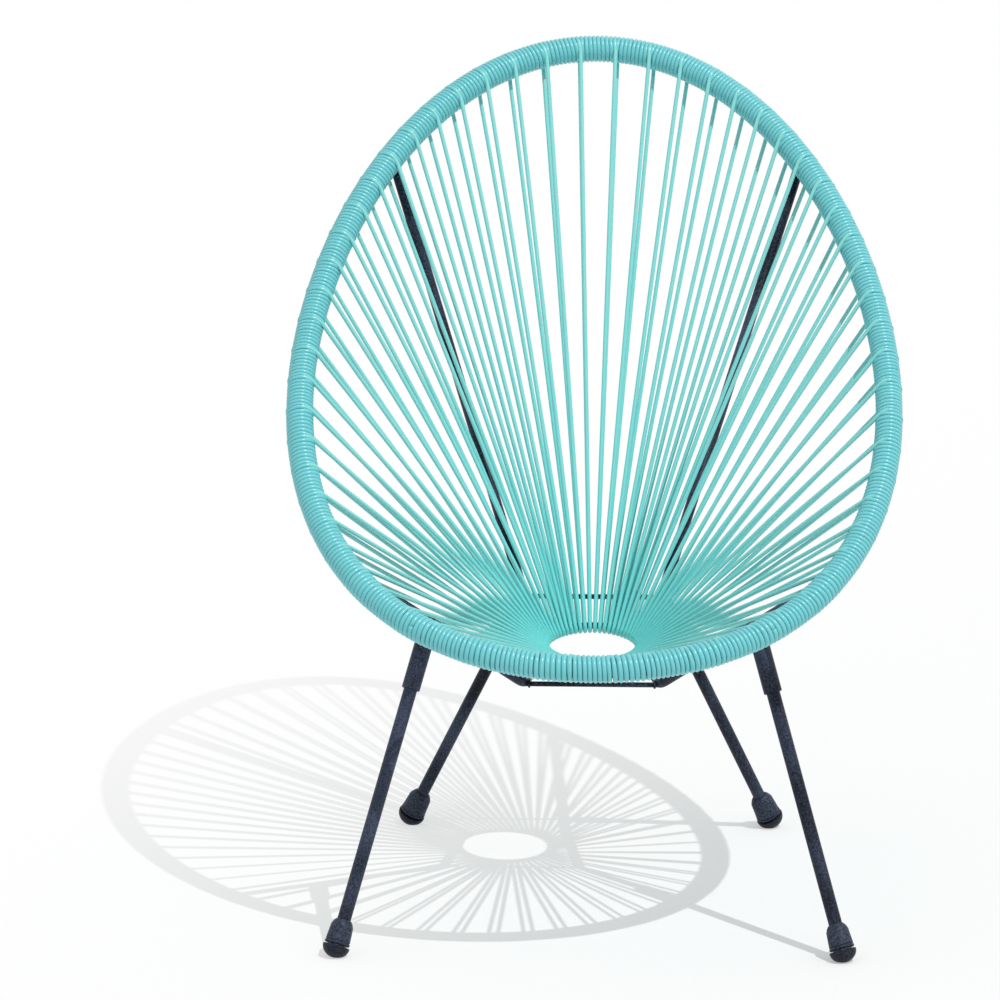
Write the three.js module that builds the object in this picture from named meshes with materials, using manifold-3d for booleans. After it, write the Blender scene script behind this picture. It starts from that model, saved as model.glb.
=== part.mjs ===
// Acapulco chair: an egg-shaped steel rim, wound and strung with plastic cord round a
// small inner ring, on welded tube arms and braces with four plug-in legs on tilting glides.
// Millimetres, +Z up. The seat opens towards -Y, the floor is z = 0, and the origin lies
// under the middle of the rim.
import * as THREE from 'three';
import { mergeVertices } from 'three/addons/utils/BufferGeometryUtils.js';
import Module from 'manifold-3d';

const wasm = await Module();
wasm.setup();

// Fits and cutters
const clearance = 0.3; // air between pieces that touch
const overrun = 4; // how far a cutter runs past what it cuts

// Rim: one tube bent to an egg and bowed along its side profile
const rimTubeRadius = 11;
const rimTubeWall = 1.5;
const rimTubeSides = 8;
const rimBoreSides = 6;
const rimLength = 981; // front to back, along the bowed profile
const rimHalfWidth = 341.5;
const rimFrontHeight = 363; // tube centre above the floor
const rimFullnessShare = 0.16; // how much wider the front half is
const rimSlopeFront = 20.3; // degrees from level
const rimSlopeMiddle = 36.6;
const rimSlopeBack = 23.9;
const rimVentRadius = 2.5;
const profileSteps = 24;
const arcStepsPerSpoke = 8;

// Cord: wound on the rim, and crossing to the inner ring and back at every spoke
const cordRadius = 2.5;
const cordSides = 5;
const spokeCount = 60;
const spokesPerRun = 5;
const windingSides = 8;
const spokeSeat = 14.3; // cord centre to tube centre where a strand leaves the winding

// Inner ring: a bent rod that hangs in the cords
const innerRingRadius = 59; // rod centreline
const innerRodRadius = 4;
const innerRodSides = 6;
const innerRingSteps = 30;
const innerRingSetback = 366.5; // centre behind the rim's front
const innerRingHeight = 275.5;
const innerRingTilt = 6.5; // degrees, higher at the back
const loopSteps = 4;

// Frame tubes: arm, seat rail and back brace on each side
const frameTubeRadius = 6.5;
const frameTubeWall = 1.4;
const frameTubeSides = 12;
const armSpoke = 22.93; // rim station that the arm is welded to
const armInset = 7; // arm's centre inside the rim tube's
const armRise = 3;
const braceSpoke = 7.25; // rim station that the brace is welded to
const braceDrop = 9; // brace's centre below the rim tube's
const cornerHalfWidth = 80;
const cornerSetback = 294;
const cornerHeight = 252.5;
const heelHalfWidth = 59.5;
const heelSetback = 431;
const heelHeight = 242.5;
const crossRodRadius = 3;
const frontRodDrop = 1.5; // front rod's centre below the corners'
const crossRodSides = 8;

// Legs, sockets and screws
const frontLegRadius = 8;
const rearLegRadius = 7.2;
const legWall = 1.4;
const legSides = 12;
const socketPlay = 0.5; // leg to socket bore
const socketWall = 2.3;
const frontSocketLength = 75.5;
const rearSocketLength = 60.5;
const socketDrop = 6.4; // top of a socket below its joint
const frontFootHalfWidth = 294.5;
const frontFootSetback = 32.5;
const rearFootHalfWidth = 213.5;
const rearFootSetback = 530.5;
const frontJointShare = 0.39; // how far down the arm the front leg joins
const rearJointShare = 0.12; // how far up the brace the rear leg joins
const screwRadius = 2;
const screwHeadRadius = 3.8;
const screwHeadHeight = 2.4;
const screwSides = 8;
const screwInset = 20; // screw above the socket's mouth
const legSeatDepth = 11; // leg's end below the socket's top

// Feet: moulded cap, ball stud and tilting glide pad
const footSides = 12;
const capGap = 2.2; // cap to pad, room to tilt
const capLength = 29.5;
const capFlangeRadius = 15;
const capFlangeHeight = 2.8;
const capGrooveDepth = 1.1;
const capGrooveHeight = 1.2;
const capBodyRadius = 14.6;
const capTopRadius = 13.3;
const capShoulderHeight = 7.5;
const capLipWall = 0.9;
const capChamfer = 0.8;
const capFloor = 7;
const studFlangeRadius = 4.6;
const studFlangeHeight = 3;
const neckRadius = 2.5;
const ballRadius = 4.5;
const ballSteps = 4;
const socketBallRadius = 5.1;
const padRadius = 16;
const padDepth = 14; // dome, before the flat
const padSteps = 5;
const pivotDepth = 5; // ball centre below the pad's top
const padMouthRadius = 3.4;
const padMouthFlare = 0.8;
const padFlat = 2; // depth of the flat worn on the dome
const floorCutter = 40;

// Finishes
const cordFinish = new THREE.MeshStandardMaterial({ color: 0x5fcfc8, roughness: 0.4, metalness: 0 });
const steelFinish = new THREE.MeshStandardMaterial({ color: 0x2e3444, roughness: 0.5, metalness: 0.4 });
const bareSteelFinish = new THREE.MeshStandardMaterial({ color: 0x8d9095, roughness: 0.35, metalness: 1 });
const footFinish = new THREE.MeshStandardMaterial({ color: 0x23262f, roughness: 0.7, metalness: 0 });

const chair = new THREE.Group();
const fullTurn = 2 * Math.PI;
const up = new THREE.Vector3(0, 0, 1);

// Solids

function solidOf(geometry) {
  const bare = geometry.clone();
  bare.deleteAttribute('normal');
  bare.deleteAttribute('uv');
  const merged = mergeVertices(bare);
  return new wasm.Manifold(new wasm.Mesh({
    numProp: 3,
    vertProperties: new Float32Array(merged.attributes.position.array),
    triVerts: new Uint32Array(merged.index.array),
  }));
}

function geometryOf(solid) {
  const mesh = solid.getMesh();
  const geometry = new THREE.BufferGeometry();
  const positions = new Float32Array(mesh.vertProperties);
  geometry.setAttribute('position', new THREE.BufferAttribute(positions, 3));
  geometry.setIndex(new THREE.BufferAttribute(new Uint32Array(mesh.triVerts), 1));
  geometry.computeVertexNormals();
  return geometry;
}

function addPiece(name, solid, material) {
  const mesh = new THREE.Mesh(geometryOf(solid), material);
  mesh.name = name;
  chair.add(mesh);
}

// A skin over rings of points that turn anticlockwise about the way they advance
function skinOf(rings, closed) {
  const sides = rings[0].length;
  const positions = rings.flat().flatMap((point) => [point.x, point.y, point.z]);
  const faces = [];
  const spans = closed ? rings.length : rings.length - 1;
  for (let i = 0; i < spans; i += 1) {
    const here = i * sides;
    const next = ((i + 1) % rings.length) * sides;
    for (let j = 0; j < sides; j += 1) {
      const k = (j + 1) % sides;
      faces.push(here + j, here + k, next + j, here + k, next + k, next + j);
    }
  }
  if (!closed) {
    const last = (rings.length - 1) * sides;
    for (let j = 1; j < sides - 1; j += 1) {
      faces.push(0, j + 1, j, last, last + j, last + j + 1);
    }
  }
  const geometry = new THREE.BufferGeometry();
  geometry.setAttribute('position', new THREE.Float32BufferAttribute(positions, 3));
  geometry.setIndex(faces);
  return geometry;
}

function ringOf(station, radius, sides) {
  return Array.from({ length: sides }, (_, j) => {
    const angle = (fullTurn * j) / sides;
    return station.point.clone()
      .addScaledVector(station.normal, radius * Math.cos(angle))
      .addScaledVector(station.side, radius * Math.sin(angle));
  });
}

// A round cord along a path of points, mitred at each bend
function cordAlong(path, radius, sides) {
  let normal = up;
  const stations = path.map((point, i) => {
    const before = path[Math.max(i - 1, 0)];
    const after = path[Math.min(i + 1, path.length - 1)];
    const back = point.clone().sub(before).normalize();
    const ahead = after.clone().sub(point).normalize();
    const way = back.add(ahead).normalize();
    normal = normal.clone().addScaledVector(way, -normal.dot(way)).normalize();
    return { point, normal, side: new THREE.Vector3().crossVectors(way, normal) };
  });
  return solidOf(skinOf(stations.map((station) => ringOf(station, radius, sides)), false));
}

// Turns a solid's geometry, built up the Z axis, to start at one point and run to another
function placed(geometry, start, direction) {
  const turn = new THREE.Quaternion().setFromUnitVectors(up, direction.clone().normalize());
  return geometry.clone().applyQuaternion(turn).translate(start.x, start.y, start.z);
}

function barBetween(start, end, radius, sides) {
  const run = end.clone().sub(start);
  const bar = new THREE.CylinderGeometry(radius, radius, run.length(), sides);
  bar.rotateX(Math.PI / 2).translate(0, 0, run.length() / 2);
  return solidOf(placed(bar, start, run));
}

function tubeBetween(start, end, radius, wall, sides) {
  const bore = barBetween(
    start.clone().addScaledVector(end.clone().sub(start).normalize(), -overrun),
    end.clone().addScaledVector(end.clone().sub(start).normalize(), overrun),
    radius - wall,
    sides,
  );
  return barBetween(start, end, radius, sides).subtract(bore);
}

// A turned piece: profile points are [radius, height] up the axis
function turned(profile, start, direction, sides) {
  const lathe = new THREE.LatheGeometry(profile.map(([r, h]) => new THREE.Vector2(r, h)), sides);
  lathe.rotateX(Math.PI / 2);
  return solidOf(placed(lathe, start, direction));
}

// Cuts away all of a solid that lies past a plane
function trimmed(solid, point, normal, reach) {
  const block = new THREE.BoxGeometry(reach, reach, reach);
  block.translate(0, 0, reach / 2);
  return solid.subtract(solidOf(placed(block, point, normal)));
}

// Rim centreline

function rimSlope(t) {
  const tilt = (rimSlopeBack - rimSlopeFront) / 2;
  const bow = (rimSlopeBack + rimSlopeFront) / 2 - rimSlopeMiddle;
  return THREE.MathUtils.degToRad(rimSlopeMiddle + tilt * t + bow * t * t);
}

// Distance back and up from the rim's front, where t runs from -1 there to 1 at the back
function rimRise(t) {
  const step = (t + 1) / profileSteps;
  const rise = new THREE.Vector2();
  for (let i = 0; i < profileSteps; i += 1) {
    const slope = rimSlope(-1 + (i + 0.5) * step);
    rise.x += Math.cos(slope) * step * (rimLength / 2);
    rise.y += Math.sin(slope) * step * (rimLength / 2);
  }
  return rise;
}

const rimDepth = rimRise(1).x;
const rimFrontY = -rimDepth / 2;

class RimCurve extends THREE.Curve {
  getPoint(share, target = new THREE.Vector3()) {
    const angle = fullTurn * share;
    const rise = rimRise(Math.cos(angle));
    const width = rimHalfWidth * (1 - rimFullnessShare * Math.cos(angle));
    return target.set(width * Math.sin(angle), rimFrontY + rise.x, rimFrontHeight + rise.y);
  }
}

const rimCurve = new RimCurve();
rimCurve.arcLengthDivisions = arcStepsPerSpoke * spokeCount;

// Stations lie midway between spokes, counted clockwise from the middle of the back
function stationAt(k) {
  const share = (((k % spokeCount) + spokeCount) % spokeCount) / spokeCount;
  const point = rimCurve.getPointAt(share);
  const tangent = rimCurve.getTangentAt(share);
  const slope = rimSlope(Math.cos(fullTurn * rimCurve.getUtoTmapping(share)));
  const normal = new THREE.Vector3(0, -Math.sin(slope), Math.cos(slope));
  normal.addScaledVector(tangent, -normal.dot(tangent)).normalize();
  return { point, tangent, normal, side: new THREE.Vector3().crossVectors(tangent, normal) };
}

const rimStations = Array.from({ length: spokeCount }, (_, k) => stationAt(k));

function rimSolid(radius, sides) {
  return solidOf(skinOf(rimStations.map((station) => ringOf(station, radius, sides)), true));
}

// The rim tube's shape with air all round, to cut its neighbours with
const rimClearRadius = rimTubeRadius + clearance / Math.cos(Math.PI / rimTubeSides);
const rimClearSolid = rimSolid(rimClearRadius, rimTubeSides);

// Frame points on the +X side, mirrored for the other
function fromRimFront(halfWidth, setback, height, hand) {
  return new THREE.Vector3(hand * halfWidth, rimFrontY + setback, height);
}

function framePoints(hand) {
  const arm = stationAt(hand * armSpoke);
  const brace = stationAt(hand * braceSpoke);
  return {
    armTop: arm.point.clone().addScaledVector(arm.side, armInset).addScaledVector(arm.normal, armRise),
    corner: fromRimFront(cornerHalfWidth, cornerSetback, cornerHeight, hand),
    heel: fromRimFront(heelHalfWidth, heelSetback, heelHeight, hand),
    braceTop: brace.point.clone().addScaledVector(brace.normal, -braceDrop),
  };
}

// Plane through a bend that halves the angle between two tubes
function mitre(before, bend, after) {
  const back = before.clone().sub(bend).normalize();
  const ahead = after.clone().sub(bend).normalize();
  return ahead.sub(back).normalize();
}

const frameReach = rimLength;

function frameTube(start, end) {
  const run = end.clone().sub(start).normalize();
  const from = start.clone().addScaledVector(run, -frameTubeRadius - overrun);
  const to = end.clone().addScaledVector(run, frameTubeRadius + overrun);
  return tubeBetween(from, to, frameTubeRadius, frameTubeWall, frameTubeSides);
}

// A solid bar that clears a frame tube all round, to cut its neighbours with
function frameClearBar(start, end, beyond = frameTubeRadius + overrun) {
  const run = end.clone().sub(start).normalize();
  const from = start.clone().addScaledVector(run, -beyond);
  const to = end.clone().addScaledVector(run, beyond);
  const radius = frameTubeRadius + clearance / Math.cos(Math.PI / frameTubeSides);
  return barBetween(from, to, radius, frameTubeSides);
}

// Feet and legs

// Where a leg stands, which way it runs and what it is made of
function legLayout(hand, front) {
  const points = framePoints(hand);
  const padCentre = front
    ? fromRimFront(frontFootHalfWidth, frontFootSetback, padDepth - padFlat, hand)
    : fromRimFront(rearFootHalfWidth, rearFootSetback, padDepth - padFlat, hand);
  const joint = front
    ? points.armTop.clone().lerp(points.corner, frontJointShare)
    : points.heel.clone().lerp(points.braceTop, rearJointShare);
  const direction = joint.clone().sub(padCentre).normalize();
  const socketTop = joint.distanceTo(padCentre) - socketDrop;
  const socketLength = front ? frontSocketLength : rearSocketLength;
  const radius = front ? frontLegRadius : rearLegRadius;
  return { padCentre, direction, socketTop, socketMouth: socketTop - socketLength, radius };
}

function along(layout, height) {
  return layout.padCentre.clone().addScaledVector(layout.direction, height);
}

function padSolid(layout) {
  const mouthDepth = pivotDepth - Math.sqrt(socketBallRadius ** 2 - padMouthRadius ** 2);
  const profile = [];
  for (let i = 0; i <= padSteps; i += 1) {
    const angle = (Math.PI / 2) * (i / padSteps);
    profile.push([padRadius * Math.sin(angle), -padDepth * Math.cos(angle)]);
  }
  profile.push([padMouthRadius + padMouthFlare, 0]);
  const mouthAngle = Math.asin(padMouthRadius / socketBallRadius);
  profile.push([padMouthRadius, -mouthDepth]);
  for (let i = 1; i <= ballSteps; i += 1) {
    const angle = mouthAngle + (Math.PI - mouthAngle) * (i / ballSteps);
    const radius = i === ballSteps ? 0 : socketBallRadius * Math.sin(angle);
    profile.push([radius, socketBallRadius * Math.cos(angle) - pivotDepth]);
  }
  profile[0][0] = 0;
  const dome = turned(profile, layout.padCentre, layout.direction, footSides);
  const floorPoint = new THREE.Vector3(layout.padCentre.x, layout.padCentre.y, 0);
  return trimmed(dome, floorPoint, up.clone().negate(), floorCutter);
}

function studSolid(layout) {
  const seat = capGap + capFloor + clearance;
  const neckAngle = Math.asin(neckRadius / ballRadius);
  const profile = [
    [0, seat + studFlangeHeight],
    [studFlangeRadius, seat + studFlangeHeight],
    [studFlangeRadius, seat],
    [neckRadius, seat],
  ];
  for (let i = 0; i <= ballSteps; i += 1) {
    const angle = neckAngle + (Math.PI - neckAngle) * (i / ballSteps);
    const radius = i === ballSteps ? 0 : ballRadius * Math.sin(angle);
    profile.push([radius, ballRadius * Math.cos(angle) - pivotDepth]);
  }
  return turned(profile.reverse(), layout.padCentre, layout.direction, legSides);
}

function capSolid(layout) {
  const bore = (layout.radius + clearance) / Math.cos(Math.PI / footSides);
  const hole = (neckRadius + clearance) / Math.cos(Math.PI / footSides);
  const bottom = capGap;
  const top = capGap + capLength;
  const grooveBottom = bottom + capFlangeHeight;
  const grooveTop = grooveBottom + capGrooveHeight;
  const profile = [
    [hole, bottom],
    [capFlangeRadius - capChamfer, bottom],
    [capFlangeRadius, bottom + capChamfer],
    [capFlangeRadius, grooveBottom],
    [capFlangeRadius - capGrooveDepth, grooveBottom],
    [capFlangeRadius - capGrooveDepth, grooveTop],
    [capBodyRadius, grooveTop],
    [capTopRadius, top - capShoulderHeight],
    [(capTopRadius + bore + capLipWall) / 2, top - capShoulderHeight / 4],
    [bore + capLipWall, top],
    [bore, top],
    [bore, bottom + capFloor],
    [hole, bottom + capFloor],
    [hole, bottom],
  ];
  return turned(profile, layout.padCentre, layout.direction, footSides);
}

// The screw goes in from behind, square to the leg
function screwLayout(layout) {
  const outward = new THREE.Vector3(0, 1, 0);
  outward.addScaledVector(layout.direction, -outward.dot(layout.direction)).normalize();
  const socketRadius = layout.radius + socketPlay + socketWall;
  return { centre: along(layout, layout.socketMouth + screwInset), outward, socketRadius };
}

function screwSolid(layout) {
  const { centre, outward, socketRadius } = screwLayout(layout);
  const tip = centre.clone().addScaledVector(outward, layout.radius - legWall - 2 * clearance);
  const seat = centre.clone().addScaledVector(outward, socketRadius + clearance);
  const crown = seat.clone().addScaledVector(outward, screwHeadHeight);
  const head = barBetween(seat, crown, screwHeadRadius, screwSides);
  return barBetween(tip, crown, screwRadius, screwSides).add(head);
}

function screwHole(layout) {
  const { centre, outward, socketRadius } = screwLayout(layout);
  const tip = centre.clone().addScaledVector(outward, layout.radius - legWall - overrun);
  const end = centre.clone().addScaledVector(outward, socketRadius + overrun);
  return barBetween(tip, end, (screwRadius + clearance) / Math.cos(Math.PI / screwSides), screwSides);
}

function legSolid(layout) {
  const bottom = capGap + capFloor + studFlangeHeight + 2 * clearance;
  const top = layout.socketTop - legSeatDepth;
  const tube = tubeBetween(along(layout, bottom), along(layout, top), layout.radius, legWall, legSides);
  return tube.subtract(screwHole(layout));
}

function socketSolid(layout, cutters) {
  const bore = layout.radius + socketPlay;
  const outer = barBetween(
    along(layout, layout.socketMouth),
    along(layout, layout.socketTop),
    bore + socketWall,
    legSides,
  );
  const cavity = barBetween(
    along(layout, layout.socketMouth - overrun),
    along(layout, layout.socketTop + overrun),
    bore,
    legSides,
  );
  let socket = outer.subtract(cavity).subtract(screwHole(layout));
  cutters.forEach((cutter) => {
    socket = socket.subtract(cutter);
  });
  return socket;
}

// Cord runs

const innerRingCentre = fromRimFront(0, innerRingSetback, innerRingHeight, 1);
const innerTilt = THREE.MathUtils.degToRad(innerRingTilt);
const innerBack = new THREE.Vector3(0, Math.cos(innerTilt), Math.sin(innerTilt));
const innerUp = new THREE.Vector3(0, -Math.sin(innerTilt), Math.cos(innerTilt));

// One spoke: down from the winding's seat side, round the inner rod and back to its far side
function spokePath(k) {
  const before = stationAt(k);
  const after = stationAt(k + 1);
  const rimPoint = before.point.clone().lerp(after.point, 0.5);
  const rimWay = after.point.clone().sub(before.point).normalize();
  const rimNormal = before.normal.clone().add(after.normal).normalize();
  const bearing = (fullTurn * (k + 0.5)) / spokeCount;
  const outward = new THREE.Vector3(Math.sin(bearing), 0, 0).addScaledVector(innerBack, Math.cos(bearing));
  const rodPoint = innerRingCentre.clone().addScaledVector(outward, innerRingRadius);
  const strand = rimPoint.clone().sub(rodPoint);
  const climb = Math.atan2(strand.dot(innerUp), strand.dot(outward));
  const seatSide = new THREE.Vector3().crossVectors(rimWay, strand).normalize();
  if (seatSide.dot(rimNormal) < 0) {
    seatSide.negate();
  }
  const loopRadius = (innerRodRadius + cordRadius + clearance) / Math.cos(Math.PI / loopSteps / 2);
  const path = [rimPoint.clone().addScaledVector(seatSide, spokeSeat)];
  for (let i = 0; i <= loopSteps; i += 1) {
    const angle = climb + Math.PI / 2 + (Math.PI * i) / loopSteps;
    path.push(rodPoint.clone()
      .addScaledVector(outward, loopRadius * Math.cos(angle))
      .addScaledVector(innerUp, loopRadius * Math.sin(angle)));
  }
  path.push(rimPoint.clone().addScaledVector(seatSide, -spokeSeat));
  return path;
}

// A run of cord: its winding sleeve on the rim and its spokes
function cordRun(first, cutters) {
  const windingRadius = rimTubeRadius + 2 * cordRadius;
  const stations = [];
  for (let k = first; k <= first + spokesPerRun; k += 1) {
    stations.push(stationAt(k));
  }
  const lastStation = stations[spokesPerRun];
  stations[0].point = stations[0].point.clone().addScaledVector(stations[0].tangent, clearance / 2);
  lastStation.point = lastStation.point.clone().addScaledVector(lastStation.tangent, -clearance / 2);
  let run = solidOf(skinOf(stations.map((station) => ringOf(station, windingRadius, windingSides)), false));
  for (let k = first; k < first + spokesPerRun; k += 1) {
    run = run.add(cordAlong(spokePath(k), cordRadius, cordSides));
  }
  cutters.forEach((cutter) => {
    run = run.subtract(cutter);
  });
  return run;
}

// Build

const hands = [['left', -1], ['right', 1]];
const frameCutters = [];

hands.forEach(([, hand]) => {
  const { armTop, corner, heel, braceTop } = framePoints(hand);
  frameCutters.push(frameClearBar(armTop, corner, clearance), frameClearBar(heel, braceTop, clearance));
});

const ventStation = stationAt(spokeCount / 2);
const ventEnd = ventStation.point.clone().addScaledVector(ventStation.normal, -rimTubeRadius - overrun);
const rimBore = rimSolid(rimTubeRadius - rimTubeWall, rimBoreSides);
const rimTube = rimSolid(rimTubeRadius, rimTubeSides)
  .subtract(rimBore)
  .subtract(barBetween(ventStation.point, ventEnd, rimVentRadius, crossRodSides));
addPiece('rim_tube', rimTube, steelFinish);

const ringRod = new THREE.TorusGeometry(innerRingRadius, innerRodRadius, innerRodSides, innerRingSteps);
addPiece('inner_ring', solidOf(placed(ringRod, innerRingCentre, innerUp)), steelFinish);

hands.forEach(([side, hand]) => {
  const { armTop, corner, heel, braceTop } = framePoints(hand);
  const cornerPlane = mitre(armTop, corner, heel);
  const heelPlane = mitre(corner, heel, braceTop);
  const halfGap = clearance / 2;
  const beforeCorner = corner.clone().addScaledVector(cornerPlane, -halfGap);
  const afterCorner = corner.clone().addScaledVector(cornerPlane, halfGap);
  const beforeHeel = heel.clone().addScaledVector(heelPlane, -halfGap);
  const afterHeel = heel.clone().addScaledVector(heelPlane, halfGap);

  let arm = tubeBetween(
    armTop,
    corner.clone().addScaledVector(corner.clone().sub(armTop).normalize(), frameTubeRadius + overrun),
    frameTubeRadius,
    frameTubeWall,
    frameTubeSides,
  );
  arm = trimmed(arm, beforeCorner, cornerPlane, frameReach).subtract(rimClearSolid);
  addPiece(`${side}_arm`, arm, steelFinish);

  let rail = frameTube(corner, heel);
  rail = trimmed(rail, afterCorner, cornerPlane.clone().negate(), frameReach);
  rail = trimmed(rail, beforeHeel, heelPlane, frameReach);
  addPiece(`${side}_seat_rail`, rail, steelFinish);

  let brace = tubeBetween(
    heel.clone().addScaledVector(heel.clone().sub(braceTop).normalize(), frameTubeRadius + overrun),
    braceTop,
    frameTubeRadius,
    frameTubeWall,
    frameTubeSides,
  );
  brace = trimmed(brace, afterHeel, heelPlane.clone().negate(), frameReach).subtract(rimClearSolid);
  addPiece(`${side}_back_brace`, brace, steelFinish);

  [['front', true], ['rear', false]].forEach(([end, front]) => {
    const layout = legLayout(hand, front);
    const name = `${end}_${side}`;
    const cutters = front
      ? [frameClearBar(armTop, corner)]
      : [frameClearBar(corner, heel), frameClearBar(heel, braceTop)];
    addPiece(`${name}_socket`, socketSolid(layout, cutters), steelFinish);
    addPiece(`${name}_leg`, legSolid(layout), steelFinish);
    addPiece(`${name}_screw`, screwSolid(layout), bareSteelFinish);
    addPiece(`${name}_cap`, capSolid(layout), footFinish);
    addPiece(`${name}_stud`, studSolid(layout), bareSteelFinish);
    addPiece(`${name}_glide`, padSolid(layout), footFinish);
  });
});

// Ties the two sides together under the seat
function crossRod(point) {
  const far = point.clone().setX(-point.x);
  let rod = barBetween(far, point, crossRodRadius, crossRodSides);
  hands.forEach(([, hand]) => {
    const { armTop, corner, heel, braceTop } = framePoints(hand);
    rod = rod.subtract(frameClearBar(armTop, corner))
      .subtract(frameClearBar(corner, heel))
      .subtract(frameClearBar(heel, braceTop));
  });
  return rod;
}

const { heel: rightHeel, braceTop: rightBraceTop, corner: rightCorner } = framePoints(1);
const frontRodEnd = rightCorner.clone().addScaledVector(up, -frontRodDrop);
addPiece('front_cross_rod', crossRod(frontRodEnd), steelFinish);
addPiece('rear_cross_rod', crossRod(rightHeel.clone().lerp(rightBraceTop, rearJointShare)), steelFinish);

for (let run = 0; run < spokeCount / spokesPerRun; run += 1) {
  const name = `seat_cord_${String(run + 1).padStart(2, '0')}`;
  addPiece(name, cordRun(run * spokesPerRun, [rimClearSolid, ...frameCutters]), cordFinish);
}

export default chair;
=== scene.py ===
import math

import bmesh
import bpy
import numpy as np
from mathutils import Euler, Matrix, Vector


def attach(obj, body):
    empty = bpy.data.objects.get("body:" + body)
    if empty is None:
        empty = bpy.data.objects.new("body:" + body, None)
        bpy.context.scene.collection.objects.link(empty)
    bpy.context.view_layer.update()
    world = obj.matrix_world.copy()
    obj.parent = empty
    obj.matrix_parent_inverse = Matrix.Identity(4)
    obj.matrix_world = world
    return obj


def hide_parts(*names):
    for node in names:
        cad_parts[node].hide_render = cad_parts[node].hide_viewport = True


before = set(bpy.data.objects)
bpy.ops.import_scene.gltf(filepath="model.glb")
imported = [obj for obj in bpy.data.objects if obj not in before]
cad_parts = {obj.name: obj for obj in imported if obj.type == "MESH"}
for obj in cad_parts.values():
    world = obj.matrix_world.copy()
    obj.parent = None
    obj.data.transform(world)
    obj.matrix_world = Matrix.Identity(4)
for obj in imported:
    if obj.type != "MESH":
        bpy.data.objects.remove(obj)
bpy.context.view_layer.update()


# Rim tube
# One round steel tube, bent to an egg and bowed along its side profile, and powder-coated
# like the rest of the frame. The cord that is wound on it hides it.

rim_tube_radius = 0.011
rim_length = 0.981
rim_half_width = 0.3415
rim_front_height = 0.363
rim_fullness = 0.16
rim_slopes = (20.3, 36.6, 23.9)  # front, middle and back, degrees from level
rim_slack = 0.0001  # left between the tube and the cord on it
profile_points = 1201
outline_points = 3601
way_reach = 0.0005  # how far to each side the rim's direction is taken
rim_rings = 240
rim_sides = 16


def unit(v):
    return v / np.linalg.norm(v, axis=-1, keepdims=True)


def rim_slope(t):
    """Slope of the side profile, where t goes from -1 in front to 1 at the back."""
    front, middle, back = rim_slopes
    tilt = (back - front) / 2
    bow = (back + front) / 2 - middle
    return np.radians(middle + tilt * t + bow * t * t)


rise_t = np.linspace(-1, 1, profile_points)
rise_mid = (rise_t[1:] + rise_t[:-1]) / 2
rise_step = rim_length / 2 * (rise_t[1] - rise_t[0])
rise_back = np.append(0, np.cumsum(np.cos(rim_slope(rise_mid)))) * rise_step
rise_up = np.append(0, np.cumsum(np.sin(rim_slope(rise_mid)))) * rise_step
rim_front = -rise_back[-1] / 2

rim_angle = np.linspace(0, 2 * math.pi, outline_points)
rim_t = np.cos(rim_angle)
rim_table = np.stack([
    rim_half_width * (1 - rim_fullness * rim_t) * np.sin(rim_angle),
    rim_front + np.interp(rim_t, rise_t, rise_back),
    rim_front_height + np.interp(rim_t, rise_t, rise_up),
], axis=1)
rim_run = np.append(0, np.cumsum(np.linalg.norm(np.diff(rim_table, axis=0), axis=1)))
rim_round = rim_run[-1]


def rim_point(s):
    """The rim's middle line, s metres along it, clockwise from the middle of the back."""
    s = np.mod(s, rim_round)
    return np.stack([np.interp(s, rim_run, rim_table[:, i]) for i in range(3)], axis=1)


def rim_place(s):
    """Points of the rim's middle line, its direction, its seat side and its inward side."""
    s = np.mod(np.atleast_1d(s), rim_round)
    way = unit(rim_point(s + way_reach) - rim_point(s - way_reach))
    slope = rim_slope(np.cos(np.interp(s, rim_run, rim_angle)))
    normal = np.stack([0 * slope, -np.sin(slope), np.cos(slope)], axis=1)
    normal = unit(normal - way * np.sum(normal * way, axis=1, keepdims=True))
    return rim_point(s), way, normal, np.cross(way, normal)


def transported(ways, first):
    """Directions square to a path that turn with it and don't twist."""
    normals = np.empty_like(ways)
    normal = first
    for i, way in enumerate(ways):
        normal = normal - way * normal.dot(way)
        normal = normal / np.linalg.norm(normal)
        normals[i] = normal
    return normals


def swept(path, radius, sides, ways=None, closed=False):
    """Vertices and faces of a round bar along a path, whose radius may change."""
    path = np.asarray(path, float)
    radius = np.broadcast_to(np.asarray(radius, float), (len(path),))
    if ways is None:
        if closed:
            ways = unit(np.roll(path, -1, axis=0) - np.roll(path, 1, axis=0))
        else:
            ways = unit(np.gradient(path, axis=0))
    first = np.array([0.0, 0.0, 1.0])
    if abs(ways[0][2]) > 0.9:  # the path starts nearly upright
        first = np.array([0.0, 1.0, 0.0])
    normals = transported(ways, first)
    across = np.cross(ways, normals)
    turn = np.zeros(len(path))
    if closed:
        slip = math.atan2(normals[0].dot(across[-1]), normals[0].dot(normals[-1]))
        turn = slip * np.arange(len(path)) / len(path)
    angle = np.linspace(0, 2 * math.pi, sides, endpoint=False)[None, :] + turn[:, None]
    rings = path[:, None, :] + radius[:, None, None] * (
        normals[:, None, :] * np.cos(angle)[..., None]
        + across[:, None, :] * np.sin(angle)[..., None]
    )
    spans = len(path) if closed else len(path) - 1
    total = len(path) * sides
    ring_start = (np.arange(spans) * sides)[:, None]
    here = ring_start + np.arange(sides)
    near = ring_start + (np.arange(sides) + 1) % sides
    faces = np.stack([here, near, (near + sides) % total, (here + sides) % total], axis=-1)
    faces = faces.reshape(-1, 4).tolist()
    if not closed:
        faces.append(list(range(sides))[::-1])
        faces.append(list(range(total - sides, total)))
    return rings.reshape(-1, 3), faces


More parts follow.
